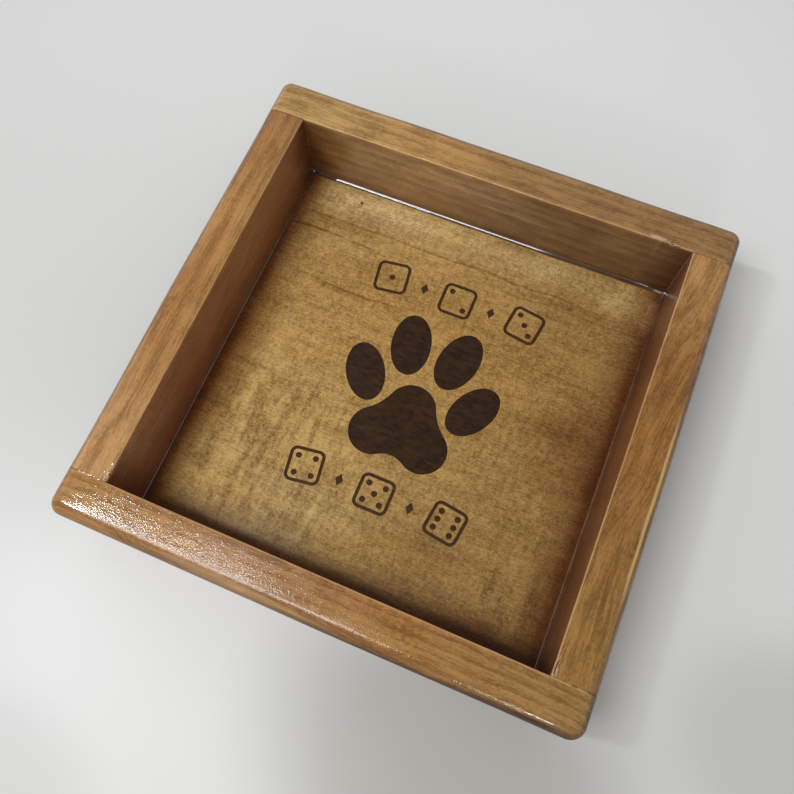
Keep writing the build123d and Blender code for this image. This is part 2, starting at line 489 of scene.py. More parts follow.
def varnish_ring():
    """A hollow fillet of varnish round the floor's four sides and its corners."""
    stations = []
    for quarter in range(4):
        stations += [(quarter, step / WALL_STEPS, 0.0) for step in range(WALL_STEPS)]
        stations += [(quarter, 1.0, step / TURN_STEPS * pi / 2) for step in range(TURN_STEPS)]
    rings = []
    for quarter, share, turn in stations:
        spin = Matrix.Rotation(quarter * pi / 2, 3, "Z")
        swell = noise.noise(Vector((share * 5, quarter * 7.3, turn / 3))) * BEAD_SWELL
        here = np.array(BEADS[quarter])
        following = np.array(BEADS[(quarter + 1) % 4])
        width, height = (here + (following - here) * turn / (pi / 2)) * (1 + swell)
        ring = []
        for part, inward, up in bead_profile(width, height):
            half = INNER - inward
            radius = BEAD_CORNERS[0] + (BEAD_CORNERS[1] - BEAD_CORNERS[0]) * part
            flat = half - radius
            x = flat * (2 * share - 1) + radius * np.sin(turn)
            y = -flat - radius * np.cos(turn)
            ring.append(spin @ Vector((x, y, up)))
        rings.append(ring)
    return add_object("varnish_floor_bead", *joined_rings(rings, closed=True))


def varnish_corner(index):
    """A thin upright fillet of varnish in one inner corner."""
    side_x, side_y = ((-1, -1), (1, -1), (1, 1), (-1, 1))[index]
    low = PANEL_TOP + CORNER_ENDS[0]
    high = RAIL_HEIGHT - CORNER_ENDS[1]
    rings = []
    for step in range(CORNER_STEPS + 1):
        up = low + (high - low) * step / CORNER_STEPS
        swell = noise.noise(Vector((up / 14, index * 3.1, 5))) * 0.5 + 0.5
        reach = CORNER_REACH + CORNER_SWELL * swell
        ring = [(-CORNER_OVERLAP, -CORNER_OVERLAP)]
        for part in range(CORNER_TURN_STEPS + 1):
            turn = part / CORNER_TURN_STEPS * pi / 2
            ring.append((reach * (1 - np.sin(turn)), reach * (1 - np.cos(turn))))
        rings.append([(side_x * (INNER - a), side_y * (INNER - b), up) for a, b in ring])
    return add_object(f"varnish_corner_{index + 1}", *joined_rings(rings, closed=False))


varnish = [varnish_ring()] + [varnish_corner(index) for index in range(4)]
for piece in varnish:
    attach(piece, "root")


# Shader building


class Nodes:
    """A node tree, with a short call for each kind of node that is used here."""

    def __init__(self, tree):
        self.tree = tree

    def feed(self, socket, value):
        if isinstance(value, bpy.types.NodeSocket):
            self.tree.links.new(value, socket)
        else:
            socket.default_value = value

    def node(self, kind, inputs, **settings):
        made = self.tree.nodes.new("ShaderNode" + kind)
        for key, value in settings.items():
            setattr(made, key, value)
        for key, value in inputs.items():
            self.feed(made.inputs[key], value)
        return made

    def maths(self, operation, a, b=0.0):
        return self.node("Math", {0: a, 1: b}, operation=operation).outputs[0]

    def plus(self, a, b):
        return self.maths("ADD", a, b)

    def minus(self, a, b):
        return self.maths("SUBTRACT", a, b)

    def times(self, product, *factors):
        for factor in factors:
            product = self.maths("MULTIPLY", product, factor)
        return product

    def size(self, value):
        return self.maths("ABSOLUTE", value)

    def calmed(self, value, amount):
        """A value whose swing about its middle, 0.5, is cut to an amount from 0 to 1."""
        return self.plus(0.5, self.times(self.minus(value, 0.5), amount))

    def total(self, *parts):
        """The sum of (value, weight) parts, each value counted from its middle, 0.5."""
        whole = 0.0
        for value, weight in parts:
            inputs = {0: self.minus(value, 0.5), 1: weight, 2: whole}
            whole = self.node("Math", inputs, operation="MULTIPLY_ADD").outputs[0]
        return whole

    def vector(self, operation, a, b):
        return self.node("VectorMath", {0: a, 1: b}, operation=operation).outputs[0]

    def position(self, order="XYZ"):
        """The place in the tray's frame in millimetres, its axes in the given order."""
        place = self.node("TexCoord", {}).outputs["Object"]
        scaled = self.node("VectorMath", {0: place, "Scale": 1 / MM}, operation="SCALE").outputs[0]
        parts = self.node("SeparateXYZ", {0: scaled}).outputs
        first, second, third = (parts["XYZ".index(axis)] for axis in order)
        joined = self.node("CombineXYZ", {0: first, 1: second, 2: third}).outputs[0]
        return joined, first, second, third

    def noise(self, place, sizes, seed=0.0, detail=2, roughness=0.5, distortion=0.0):
        """Noise from 0 to 1, with features of these sizes along the three axes."""
        scale = [1 / size for size in sizes]
        mapped = self.node("Mapping", {"Vector": place, "Location": [seed] * 3, "Scale": scale})
        inputs = {"Vector": mapped.outputs[0], "Scale": 1.0, "Detail": detail}
        inputs |= {"Roughness": roughness, "Distortion": distortion}
        return self.node("TexNoise", inputs).outputs["Fac"]

    def span(self, value, low, high, to_low=0.0, to_high=1.0):
        """value from low to high, spread smoothly over to_low to to_high and held outside."""
        inputs = {"Value": value, 1: low, 2: high, 3: to_low, 4: to_high}
        return self.node("MapRange", inputs, interpolation_type="SMOOTHSTEP").outputs[0]

    def patch(self, place, centre, size, seed=0.0, ragged=0.5):
        """1 inside an ellipsoid, fading to 0 at its ragged edge."""
        reach = self.vector("DIVIDE", self.vector("SUBTRACT", place, centre), size)
        reach = self.node("VectorMath", {0: reach}, operation="LENGTH").outputs["Value"]
        frayed = self.noise(place, [max(0.8, part / 3) for part in size], seed, detail=3)
        edge = self.plus(reach, self.total((frayed, 2 * ragged)))
        return self.span(edge, 0.35, 1.0, 1.0, 0.0)

    def mix(self, factor, a, b, mode="MIX"):
        made = self.tree.nodes.new("ShaderNodeMix")
        made.data_type = "RGBA"
        made.blend_type = mode
        self.feed(made.inputs[0], factor)
        self.feed(made.inputs[6], a)
        self.feed(made.inputs[7], b)
        return made.outputs[2]

    def paint(self, colour, other, *factors):
        """A colour mixed with another one, as far as the factors' product says."""
        return self.mix(self.times(*factors), colour, other)

    def stain_shade_and_sheen(self, colour, tint, *factors):
        """A colour multiplied by a tint, as far as the factors' product says: used for real stain,
        for painted shade and for painted sheen.
        """
        return self.mix(self.times(*factors), colour, (*tint, 1.0), "MULTIPLY")

    def ramp(self, value, stops):
        """A colour along (position, colour) stops, of which the two ends come first."""
        made = self.node("ValToRGB", {0: value})
        marks = made.color_ramp.elements
        for index, (place, colour) in enumerate(stops):
            mark = marks[index] if index < 2 else marks.new(place)
            mark.position = place
            mark.color = colour
        return made.outputs[0]

    def bump(self, height, depth, normal=None):
        """A normal roughened by a height from 0 to 1 that stands for depth millimetres."""
        inputs = {"Height": height, "Distance": depth * MM, "Strength": 1.0}
        if normal is not None:
            inputs["Normal"] = normal
        return self.node("Bump", inputs).outputs[0]


def new_material(name):
    material = bpy.data.materials.new(name)
    material.use_nodes = True
    return material, Nodes(material.node_tree), material.node_tree.nodes["Principled BSDF"].inputs


def dress(pieces, material):
    for piece in pieces:
        piece.data.materials.clear()
        piece.data.materials.append(material)


def srgb(red, green, blue):
    """A colour as a screen shows it, 0 to 255, in linear values."""
    parts = [value / 255 for value in (red, green, blue)]
    linear = [p / 12.92 if p <= 0.04045 else ((p + 0.055) / 1.055) ** 2.4 for p in parts]
    return (*linear, 1.0)


# Stained and varnished pine, one material for each rail

VARNISH_IOR = 1.47
SEAM_STAIN = srgb(84, 52, 28)
WORN_WOOD = srgb(218, 166, 114)
TORN_WOOD = srgb(196, 160, 124)

# Tints that the wood's own colour is multiplied by
LIGHT_GRAIN = (1.34, 1.36, 1.42, 1.0)
DARK_GRAIN = (0.66, 0.60, 0.52, 1.0)
# Dark where the outside turns down: partly burnish, partly painted shade
BURNISH_AND_SHADE = (0.20, 0.14, 0.10)
WALL_FOOT = (0.80, 0.72, 0.60)
# Painted shade in the walls' corners
WALL_CORNER_SHADE = (0.50, 0.36, 0.33)

# The figure's strength on the inner walls, as a share of that on the top
WALL_CONTRAST = 0.75

# The slant of a rail's grain starts this far before its middle
SLANT_FROM = 25

# How far a patch of stain reaches up or down
PATCH_REACH = 60

# How far the walls' darkening reaches up from the floor, and the painted shade out of the corners
FOOT_REACH = (6, 34)
WALL_CORNER_SHADE_REACH = 18

# Gloss of the varnish, and how much more matt it is on the walls
PINE_ROUGHNESS = (0.06, 0.10)
WALL_MATT = 0.2

# Relief in millimetres: the varnish's peel, fibre and torn grain
PEEL_DEPTH = 0.015
FIBRE_DEPTH = 0.004
TORN_DEPTH = 0.2


def rail_places(s, node, look):
    """Where a point is on a rail, how far from its edges and how steep it is."""
    is_side = node in SIDE_RAILS
    place, along, across, up = s.position("YXZ" if is_side else "XYZ")
    from_wall = s.minus(s.size(across), INNER)
    from_top = s.minus(RAIL_HEIGHT, up)
    past_end = s.minus(s.size(along), INNER)
    normal = s.node("NewGeometry", {}).outputs["Normal"]
    return SimpleNamespace(
        is_side=is_side,
        seed=look["seed"],
        place=place,
        along=along,
        across=across,
        up=up,
        slope=s.node("SeparateXYZ", {0: normal}).outputs[2],
        from_wall=from_wall,
        from_top=from_top,
        on_wall=s.times(s.span(from_wall, 0.1, 0.5, 1.0, 0.0), s.span(from_top, 0.6, 1.8)),
        on_outside=s.span(s.maths("MAXIMUM", from_wall, past_end), 8, 12),
    )


def pine_figure(s, at, look):
    """Each kind of figure in the grain, from 0 to 1."""
    # Grain that sways off its own line, with growth rings about a pith outside the rail
    sway = s.total((s.noise(at.place, (55, 26, 26), at.seed, detail=1.5), look["sway"]))
    slanted = s.maths("MAXIMUM", s.plus(at.along, SLANT_FROM), 0.0)
    grain_across = s.plus(at.across, s.minus(sway, s.times(slanted, look["slant"])))
    grain_up = s.plus(at.up, sway)
    grain = s.node("CombineXYZ", {0: at.along, 1: grain_across, 2: grain_up}).outputs[0]
    pith_across, pith_up = look["pith"]
    off_across = s.maths("POWER", s.minus(grain_across, pith_across), 2)
    off_up = s.maths("POWER", s.minus(grain_up, pith_up), 2)
    off = s.maths("SQRT", s.plus(off_across, off_up))
    age = s.maths("FRACT", s.maths("DIVIDE", off, look["ring"]))

    # Curl: short waves across the grain, in some stretches only
    curl = s.noise(at.place, (1.9, 11, 11), at.seed)
    curled = s.span(s.noise(at.place, (38, 16, 16), at.seed, detail=1), 0.45, 0.62)
    return SimpleNamespace(
        late=s.times(s.span(age, 0.25, 0.85), s.span(age, 0.9, 1.0, 1.0, 0.0)),
        lines=s.noise(grain, (110, 1.7, 1.7), at.seed, detail=5, roughness=0.72),
        fibre=s.noise(grain, (22, 0.45, 0.45), at.seed, detail=3, roughness=0.6),
        speckle=s.noise(at.place, (1.6, 0.6, 0.6), at.seed, roughness=0.6),
        blotch=s.noise(at.place, (17, 6, 6), at.seed, detail=3, roughness=0.6),
        curl=s.calmed(curl, curled),
        rub=s.noise(at.place, (9, 1.5, 1.5), at.seed),
    )


def pine_colour(s, at, figure, look):
    """The rail's own tones and figure, with patches on its top: stain, painted highlight and
    painted shade.
    """
    shade = s.total(
        (figure.late, look["rings"]),
        (figure.lines, 1.1),
        (figure.fibre, 1.3),
        (figure.speckle, 1.0),
        (figure.blotch, look["blotch"]),
        (figure.curl, look["curl"]),
    )
    on_top = look["contrast"]
    contrast = s.span(at.on_wall, 0.0, 1.0, on_top, WALL_CONTRAST * on_top)
    shade = s.span(s.times(shade, contrast), -0.5, 0.5)
    tone = s.ramp(s.span(at.along, -HALF, HALF), look["tones"])
    colour = s.mix(1.0, tone, s.mix(shade, LIGHT_GRAIN, DARK_GRAIN), "MULTIPLY")
    # Patches: stain, and on the front rail also painted highlight and painted shade
    for centre, size, stain_shade_and_sheen, strength in look["patches"]:
        here = s.patch(at.place, (*centre, RAIL_HEIGHT), (*size, PATCH_REACH), at.seed)
        colour = s.paint(colour, srgb(*stain_shade_and_sheen), here, strength)
    return colour


def wall_tint_shade_and_sheen(s, at, look, colour):
    """The inner walls' tint, darker towards the floor, with painted shade in the corners and
    patches, some of them painted reflection and painted shade.
    """
    foot = s.span(at.up, *FOOT_REACH, 1.0, 0.0)
    corner_shade = s.span(s.size(at.along), INNER - WALL_CORNER_SHADE_REACH, INNER, 0.0, 0.9)
    colour = s.stain_shade_and_sheen(colour, look["wall"], at.on_wall)
    colour = s.stain_shade_and_sheen(colour, WALL_FOOT, at.on_wall, foot)
    # Painted shade into the corners
    colour = s.stain_shade_and_sheen(colour, WALL_CORNER_SHADE, at.on_wall, corner_shade)
    # Patches on the wall: painted reflection on varnish sags, painted shade at the back wall's
    # ends, and darker patches
    for centre, size, tint, strength in look["wall_patches"]:
        here = s.patch(at.place, centre, size, at.seed)
        colour = s.stain_shade_and_sheen(colour, tint, here, at.on_wall, strength)
    return colour


def edge_wear_and_shade(s, at, figure, look, colour):
    """Worn light along the inner edge, and dark where the outside turns down from the light:
    partly burnish, partly painted shade.
    """
    worn = s.span(s.maths("MAXIMUM", at.from_wall, at.from_top), 0.2, 0.75, 1.0, 0.0)
    colour = s.paint(colour, WORN_WOOD, worn, s.span(figure.rub, 0.3, 0.7, 0.45, 0.85))
    turned = s.plus(at.slope, s.total((figure.rub, 0.4), (figure.blotch, 0.4)))
    turned = s.span(turned, 0.5, 0.96, 1.0, 0.0)
    burnish_and_shade = s.span(at.along, -60, 60, *look["burnish_and_shade"])
    # Painted shade, partly burnish: darker where the outer face turns down
    return s.stain_shade_and_sheen(colour, BURNISH_AND_SHADE, turned, at.on_outside, burnish_and_shade)


def seam_stain(s, at, colour):
    """Stain drawn into the end grain at the seams."""
    if at.is_side:
        to_seam = s.minus(INNER, s.size(at.along))
    else:
        beside = s.span(s.size(at.along), INNER - 0.4, INNER, 50, 0.0)
        to_seam = s.plus(at.from_wall, beside)
    drawn = s.noise(at.place, (2.4, 2.4, 2.4), at.seed, detail=4, roughness=0.7)
    seam = s.span(s.plus(to_seam, s.total((drawn, 0.8))), 0.05, 0.5, 1.0, 0.0)
    return s.paint(colour, SEAM_STAIN, seam, s.span(drawn, 0.4, 0.6, 0.8, 0.3))


def torn_grain(s, at, chip, colour):
    """Light and dark flecks where the grain is torn, and their height from 0 to 1."""
    chip_x, chip_y, reach_x, reach_y, _ = chip
    centre = (chip_x, chip_y, RAIL_HEIGHT)
    size = (reach_x, reach_y, 3)
    if at.is_side:
        centre = (chip_y, chip_x, RAIL_HEIGHT)
        size = (reach_y, reach_x, 3)
    torn = s.patch(at.place, centre, size, at.seed, 0.3)
    fleck = s.noise(at.place, (2.4, 0.5, 1.0), at.seed)
    colour = s.paint(colour, TORN_WOOD, torn, s.span(fleck, 0.42, 0.56, 0.0, 0.85))
    colour = s.paint(colour, SEAM_STAIN, torn, s.span(fleck, 0.36, 0.46, 0.9, 0.0))
    return colour, s.times(torn, fleck)


def pine_skin(s, at, figure, look):
    """Gloss varnish over the grain, with fine pits that are shallower near the ends."""
    pits = s.noise(at.place, (0.75, 0.55, 0.55), at.seed, detail=1)
    crowd = s.noise(at.place, (9, 4, 4), at.seed, detail=3)
    crowd = s.span(crowd, 0.35, 0.65, 0.6, 1.0)
    crowd = s.times(crowd, s.span(s.size(at.along), 84, 97, 1.0, 0.4))
    peel = s.noise(at.place, (6, 2.4, 2.4), at.seed, detail=1)
    skin = s.bump(peel, PEEL_DEPTH)
    skin = s.bump(s.times(s.minus(pits, 0.5), crowd), look["pits"], skin)
    return s.bump(figure.fibre, FIBRE_DEPTH, skin)


def stained_pine(node, look):
    """The material of one rail."""
    material, s, surface = new_material("pine_" + node)
    at = rail_places(s, node, look)
    figure = pine_figure(s, at, look)
    colour = pine_colour(s, at, figure, look)
    colour = wall_tint_shade_and_sheen(s, at, look, colour)
    colour = edge_wear_and_shade(s, at, figure, look, colour)
    colour = seam_stain(s, at, colour)
    skin = pine_skin(s, at, figure, look)
    if node in CHIPS:
        colour, height = torn_grain(s, at, CHIPS[node], colour)
        skin = s.bump(height, TORN_DEPTH, skin)

    # Glossy, but matt on the steep outer faces and a little on the walls
    steep = s.span(at.slope, 0.05, 0.6, 0.6, 0.0)
    matt = s.plus(s.times(steep, at.on_outside), s.times(at.on_wall, WALL_MATT))
    gloss = s.span(figure.blotch, 0.3, 0.7, *PINE_ROUGHNESS)
    s.feed(surface["Base Color"], colour)
    s.feed(surface["Roughness"], s.plus(gloss, matt))
    s.feed(surface["Normal"], skin)
    surface["IOR"].default_value = VARNISH_IOR
    return material


# Each rail's grain: the noise's seed, the sway and slant, the pith's place across and up,
# the rings' spacing, and the strength of rings, curl, blotches and the whole. Its colour:
# tones from end to end, patches on the top and outer edge (centre, reach, colour, strength),
# some of them painted highlight and painted shade, the wall's tint, patches on the wall
# (centre, reach, tint, strength), some of them painted reflection and painted shade, burnish
# and painted shade at both ends of the outside, and the depth of the pits in the varnish.
RAIL_LOOKS = {
    "front_rail": {
        "seed": 3,
        "sway": 26,
        "slant": 0.0,
        "pith": (-30, -20),
        "ring": 2.9,
        "rings": 0.28,
        "curl": 0.7,
        "blotch": 0.9,
        "contrast": 1.0,
        "tones": [
            (0.0, srgb(160, 117, 69)),
            (1.0, srgb(150, 114, 66)),
            (0.35, srgb(160, 119, 79)),
            (0.55, srgb(151, 109, 68)),
            (0.72, srgb(152, 107, 58)),
        ],
        "patches": [
            # Painted highlight along the outer round-over
            ((-14, -106.2), (30, 0.9), (200, 164, 104), 0.6),
            ((34, -100.5), (42, 1.0), (186, 144, 84), 0.45),
            # Painted sheen on the outer round-over
            ((-36, -105.5), (30, 2.4), (188, 152, 112), 0.5),
            # Painted shade with burnish on the outer round-over at the right
            ((84, -106.8), (28, 2), (96, 60, 36), 0.7),
        ],
        "wall": (0.62, 0.50, 0.40),
        "wall_patches": [],
        "burnish_and_shade": (0.35, 1.0),
        "pits": 0.07,
    },
    "back_rail": {
        "seed": 17,
        "sway": 10,
        "slant": 0.0,
        "pith": (190, -40),
        "ring": 3.4,
        "rings": 0.24,
        "curl": 0.8,
        "blotch": 1.7,
        "contrast": 1.0,
        "tones": [
            (0.0, srgb(176, 140, 85)),
            (1.0, srgb(146, 109, 67)),
            (0.3, srgb(176, 134, 79)),
            (0.55, srgb(150, 113, 66)),
            (0.72, srgb(150, 113, 69)),
        ],
        "patches": [
            ((-32, 106.5), (12, 1.6), (96, 60, 40), 0.7),
            ((74.5, 91), (5.5, 1.1), (214, 176, 138), 0.8),
        ],
        "wall": (0.81, 0.82, 0.92),
        "wall_patches": [
            # Painted reflection on a varnish sag, lighter and bluer
            ((-10, 90, 34), (40, 4, 12), (1.30, 1.42, 1.80), 0.75),
            # Painted highlight along the sag's lower edge
            ((14, 90, 25), (26, 4, 1.6), (1.34, 1.46, 1.80), 0.8),
            # Painted shade at the wall's left end
            ((-80, 90, 24), (18, 4, 28), (0.84, 0.72, 0.62), 0.8),
            # Painted shade at the wall's right end
            ((80, 90, 14), (20, 4, 26), (0.88, 0.80, 0.80), 0.7),
            ((36, 90, 30), (24, 4, 16), (0.84, 0.82, 0.80), 0.8),
        ],
        "burnish_and_shade": (0.85, 0.85),
        "pits": 0.05,
    },
    "left_rail": {
        "seed": 29,
        "sway": 9,
        "slant": 0.0,
        "pith": (-60, -40),
        "ring": 3.1,
        "rings": 0.24,
        "curl": 0.7,
        "blotch": 1.0,
        "contrast": 0.95,
        "tones": [
            (0.0, srgb(180, 137, 90)),
            (1.0, srgb(154, 110, 64)),
            (0.3, srgb(159, 114, 67)),
            (0.5, srgb(157, 111, 64)),
            (0.7, srgb(168, 123, 71)),
        ],
        "patches": [
            ((66, -104.5), (34, 1.0), (110, 70, 36), 0.5),
            ((-46, -105), (30, 0.9), (196, 156, 100), 0.4),
        ],
        "wall": (0.93, 0.86, 1.16),
        "wall_patches": [
            ((-62, -90, 22), (44, 4, 32), (0.84, 0.74, 0.70), 0.9),
        ],
        "burnish_and_shade": (0.85, 0.85),
        "pits": 0.05,
    },
    "right_rail": {
        "seed": 43,
        "sway": 8,
        "slant": 0.19,
        "pith": (30, -50),
        "ring": 3,
        "rings": 0.16,
        "curl": 0.4,
        "blotch": 1.1,
        "contrast": 1.15,
        "tones": [
            (0.0, srgb(150, 112, 60)),
            (1.0, srgb(176, 132, 80)),
            (0.3, srgb(141, 99, 53)),
            (0.5, srgb(150, 104, 55)),
            (0.75, srgb(143, 99, 52)),
        ],
        "patches": [
            ((-20, 105.3), (54, 1.1), (216, 178, 112), 0.85),
            ((-70, 102.5), (16, 1.6), (98, 68, 34), 0.5),
            ((-52, 99), (24, 1.4), (100, 68, 34), 0.45),
            ((-62, 94.5), (12, 2.2), (108, 78, 42), 0.45),
            ((40, 104.6), (30, 0.8), (110, 72, 38), 0.4),
        ],
        "wall": (0.75, 0.67, 0.92),
        "wall_patches": [
            ((-62, 90, 22), (40, 4, 30), (0.74, 0.60, 0.64), 0.9),
            ((62, 90, 22), (40, 4, 30), (0.70, 0.66, 0.64), 0.9),
        ],
        "burnish_and_shade": (0.35, 0.8),
        "pits": 0.05,
    },
}

for node, rail in rails.items():
    dress([rail], stained_pine(node, RAIL_LOOKS[node]))


# Stained and varnished plywood, its engraving burnt dark

# Patches that tint the veneer: uneven stain, painted reflection where the tint is lighter and
# bluer, and stain with painted shade by the walls: (x, y), (reach in x, reach in y), tint,
# strength
PANEL_PATCHES = [
    ((0.0, 34), (130, 52), (1.0, 0.93, 0.84), 0.9),
    ((-66, 66.5), (28, 2.6), (0.78, 0.66, 0.54), 0.7),
    ((52, 66), (30, 2.4), (0.72, 0.60, 0.50), 0.5),
    ((80, 66), (11, 6), (0.74, 0.58, 0.46), 0.6),
    ((80, 52), (8, 8), (0.84, 0.70, 0.60), 0.5),
    ((-52, 34.5), (24, 2.4), (0.68, 0.58, 0.46), 0.6),
    ((-77, 61), (12, 1.2), (0.80, 0.50, 0.34), 0.7),
    ((64, 8), (24, 10), (0.80, 0.72, 0.62), 0.6),
    # Stain and painted shade by the front wall
    ((72, -84), (28, 6), (0.70, 0.55, 0.50), 0.6),
    ((-60.3, 81.6), (1.2, 1.1), (0.12, 0.10, 0.10), 1.0),
    # Painted reflection by the back wall
    ((-38, 82), (44, 8), (1.30, 1.38, 1.62), 0.8),
    # Painted reflection by the back wall
    ((44, 81), (52, 10), (1.22, 1.34, 1.62), 0.9),
    # Painted reflection
    ((-20, -62), (34, 14), (1.06, 1.14, 1.26), 0.8),
    ((60, -66), (44, 16), (0.90, 0.86, 0.90), 0.7),
    ((26, -66), (28, 14), (0.86, 0.82, 0.76), 0.8),
    # Stain and painted shade by the left wall
    ((-82, -16), (14, 60), (0.82, 0.71, 0.64), 0.9),
    # Stain and painted shade by the right wall
    ((78, 0.0), (28, 34), (0.75, 0.62, 0.56), 0.9),
    # Stain and painted shade by the front wall
    ((45, -82), (44, 9), (0.90, 0.80, 0.86), 0.9),
    # Painted reflection by the back wall
    ((-52, 80), (36, 9), (1.10, 1.16, 1.34), 0.9),
    # Painted reflection in the back right corner
    ((87, 74), (3.4, 16), (1.60, 1.90, 2.60), 0.8),
    # Painted reflection in the back left corner
    ((-87.5, 68), (3, 22), (1.40, 1.60, 2.10), 0.8),
    ((-30, 40), (60, 18), (0.93, 0.92, 0.88), 0.9),
    ((-4, -42), (60, 14), (1.06, 1.06, 1.10), 0.8),
    # Painted reflection in the back left corner
    ((-78, 79), (16, 14), (1.28, 1.32, 1.46), 0.9),
    # Painted reflection in the back right corner
    ((78, 76), (22, 18), (1.26, 1.36, 1.56), 0.9),
]

# Ragged brown lines across it: y, their wander, width, middle and reach in x, strength
PANEL_LINES = [
    (68.5, 5, 0.9, -10, 84, 0.75),
    (63, 6, 0.8, 50, 44, 0.6),
    (60.5, 4, 0.8, -68, 26, 0.8),
    (36, 8, 0.9, -48, 32, 0.7),
    (31, 6, 0.7, 60, 28, 0.4),
    (-14, 10, 0.7, -60, 26, 0.4),
]

# Its own light and dark tones, and tints that they are multiplied by
LIGHT_VENEER = srgb(223, 184, 113)
DARK_VENEER = srgb(126, 87, 40)
# Browner to the right and front: partly stain, partly painted shade
BROWNER_AND_SHADE_TINT = (0.72, 0.68, 0.62)
TICK_TINT = (0.56, 0.48, 0.38)
LINE_TINT = (0.58, 0.46, 0.34)
# Darker margin and rim by the walls: partly stain, partly painted shade
MARGIN_STAIN_AND_SHADE = (0.44, 0.27, 0.20)
RIM_STAIN_AND_SHADE = (0.58, 0.40, 0.36)

# How far the darker margin, partly stain and partly painted shade, reaches in from each wall,
# and the rim's darkening, also partly painted shade, from the left, right and front walls
MARGINS = {"left": 14, "right": 20, "front": 10, "back": 3}
RIM_REACH = (1.5, 8)

# Burnt wood, and the warmer colours that it has in places and in the rows of dice
BURNT_DARK = srgb(38, 23, 11)
BURNT_LIGHT = srgb(64, 42, 22)
EMBER = srgb(86, 42, 22)
ROW_BURN = srgb(116, 70, 36)

# The rows of dice start this far from the middle, and are burnt less than the paw
ROWS_FROM = 38

# Depths below the panel's face where the burnt colour starts and where it is whole
BURNT_FROM = 0.02
BURNT_FULLY = 0.12

VENEER_PATCH_REACH = 30
VENEER_ROUGHNESS = (0.16, 0.26)

# Relief in millimetres: sags in the varnish, the veneer's weave and fibre, and char
SAG_DEPTH = 0.03
VENEER_DEPTH = 0.010
CHAR_DEPTH = 0.03


def veneer_figure(s, place):
    """Each kind of figure in the veneer, from 0 to 1."""
    left = s.patch(place, (-46, -48, PANEL_TOP), (56, 54, 30), 6)
    right = s.patch(place, (72, -66, PANEL_TOP), (22, 28, 30), 8)
    return SimpleNamespace(
        weave=s.noise(place, (1.1, 0.8, 4), 5, detail=4, roughness=0.75, distortion=0.6),
        figure=s.noise(place, (2.2, 4, 4), 7, detail=4, roughness=0.65),
        fibre=s.noise(place, (4.5, 0.5, 2), 1.0, detail=4, roughness=0.65, distortion=0.4),
        band=s.noise(place, (48, 5, 4), 3, detail=5, roughness=0.65),
        cloud=s.noise(place, (30, 22, 9), 9, detail=3),
        row=s.noise(place, (3.4, 20, 9), 4, detail=1),
        marked=s.maths("MAXIMUM", left, right),
    )


def veneer_colour(s, place, x, y, veneer):
    """The veneer's tones, browner and darker to the right and front, partly stain and partly
    painted shade, with short marks in rows.
    """
    shade = s.total(
        (veneer.weave, 1.9),
        (veneer.figure, 1.0),
        (veneer.fibre, 1.1),
        (veneer.band, 0.6),
        (veneer.cloud, 0.5),
        (s.calmed(veneer.row, veneer.marked), 1.0),
    )
    colour = s.mix(s.span(shade, -0.7, 0.7), LIGHT_VENEER, DARK_VENEER)
    leaning = s.plus(s.times(x, 0.95), s.times(y, -0.3))
    # Partly painted shade, darker away from the lamps
    colour = s.stain_shade_and_sheen(colour, BROWNER_AND_SHADE_TINT, s.span(leaning, -60, 90))
    tick = s.noise(place, (0.9, 2.8, 5), 13, detail=3, roughness=0.65)
    ticked = s.times(s.span(tick, 0.48, 0.66), s.span(veneer.row, 0.46, 0.6, 0.2, 1.0))
    where = s.plus(s.times(veneer.marked, 0.8), 0.08)
    return s.stain_shade_and_sheen(colour, TICK_TINT, ticked, where)


def veneer_stain_shade_and_sheen(s, place, x, y, colour):
    """The patches of stain, painted reflection and painted shade, and the ragged lines of stain.
    """
    # Patches: stain, painted reflection, and painted shade by the walls
    for number, (centre, size, tint, strength) in enumerate(PANEL_PATCHES):
        reach = (*size, VENEER_PATCH_REACH)
        here = s.patch(place, (*centre, PANEL_TOP), reach, number + 0.5)
        colour = s.stain_shade_and_sheen(colour, tint, here, strength)
    for number, (level, wander, width, middle, reach, strength) in enumerate(PANEL_LINES):
        seed = 20 + number
        swing = s.total((s.noise(place, (24, 400, 9), seed, detail=4), wander))
        off = s.size(s.minus(s.minus(y, level), swing))
        frayed = s.noise(place, (3.5, 1.4, 4), seed, detail=4, roughness=0.7)
        off = s.plus(off, s.total((frayed, 3 * width)))
        ends = s.span(s.size(s.minus(x, middle)), 0.7 * reach, reach, 1.0, 0.0)
        line = s.span(off, 0.1 * width, width, strength, 0.0)
        colour = s.stain_shade_and_sheen(colour, LINE_TINT, line, ends)
    return colour


def margin_stain_and_shade(s, x, y, veneer, colour):
    """Darker, redder towards the walls: partly stain, partly painted shade."""
    left = s.maths("DIVIDE", s.plus(INNER, x), MARGINS["left"])
    right = s.maths("DIVIDE", s.minus(INNER, x), MARGINS["right"])
    front = s.maths("DIVIDE", s.plus(INNER, y), MARGINS["front"])
    back = s.maths("DIVIDE", s.minus(INNER, y), MARGINS["back"])
    sides = s.maths("MINIMUM", left, right)
    margin = s.maths("MINIMUM", sides, s.maths("MINIMUM", front, back))
    margin = s.plus(margin, s.total((veneer.figure, 0.7), (veneer.cloud, 0.8)))
    # Partly painted shade
    colour = s.stain_shade_and_sheen(colour, MARGIN_STAIN_AND_SHADE, s.span(margin, -0.1, 1.0, 0.95, 0.0))
    inside = s.maths("MINIMUM", s.minus(INNER, s.size(x)), s.plus(INNER, y))
    inside = s.plus(inside, s.total((veneer.figure, 4), (veneer.cloud, 5)))
    # Partly painted shade, darkest at the walls' foot
    return s.stain_shade_and_sheen(colour, RIM_STAIN_AND_SHADE, s.span(inside, *RIM_REACH, 0.9, 0.0))


